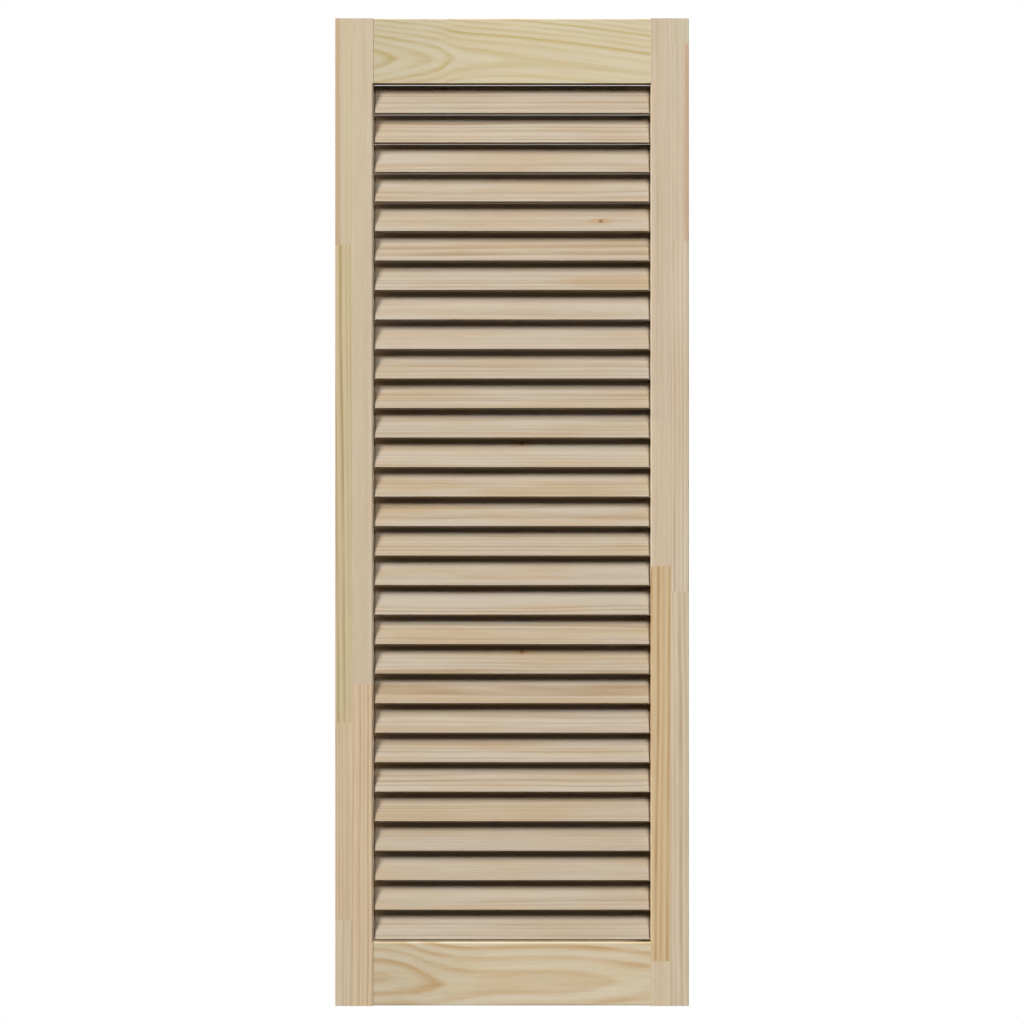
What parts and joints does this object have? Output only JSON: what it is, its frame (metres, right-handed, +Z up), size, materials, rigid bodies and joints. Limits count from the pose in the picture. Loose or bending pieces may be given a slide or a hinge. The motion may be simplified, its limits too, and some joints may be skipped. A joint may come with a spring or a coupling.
{
  "type": "louvred wardrobe door",
  "caption": "Upright rectangular wooden door leaf with fixed overlapping louvre slats between two stiles and two rails, bare and ready to be hung.",
  "frame": {"origin": "on the outer face of the left stile, the hinge edge, at mid-height and in the middle of the thickness", "axes": "+X from the hinge edge across the door, +Y from the front face to the back face, +Z up along the stiles"},
  "size_m": [0.394, 0.021, 1.1],
  "materials": {
    "stile": "planed and sanded bare pine",
    "rail": "planed and sanded bare pine",
    "slat": "planed and sanded bare pine",
    "dowel": "bare hardwood dowel"
  },
  "bodies": {
    "root": {"left_stile_outer_stave": "stile", "left_stile_inner_stave": "stile", "right_stile_inner_stave": "stile", "right_stile_outer_stave": "stile", "top_rail": "rail", "bottom_rail": "rail", "slat_01": "slat", "slat_02": "slat", "slat_03": "slat", "slat_04": "slat", "slat_05": "slat", "slat_06": "slat", "slat_07": "slat", "slat_08": "slat", "slat_09": "slat", "slat_10": "slat", "slat_11": "slat", "slat_12": "slat", "slat_13": "slat", "slat_14": "slat", "slat_15": "slat", "slat_16": "slat", "slat_17": "slat", "slat_18": "slat", "slat_19": "slat", "slat_20": "slat", "slat_21": "slat", "slat_22": "slat", "slat_23": "slat", "slat_24": "slat", "slat_25": "slat", "slat_26": "slat", "slat_27": "slat", "slat_28": "slat", "slat_29": "slat", "dowel_top_left_1": "dowel", "dowel_top_left_2": "dowel", "dowel_top_right_1": "dowel", "dowel_top_right_2": "dowel", "dowel_bottom_left_1": "dowel", "dowel_bottom_left_2": "dowel", "dowel_bottom_right_1": "dowel", "dowel_bottom_right_2": "dowel"}
  },
  "joints": []
}
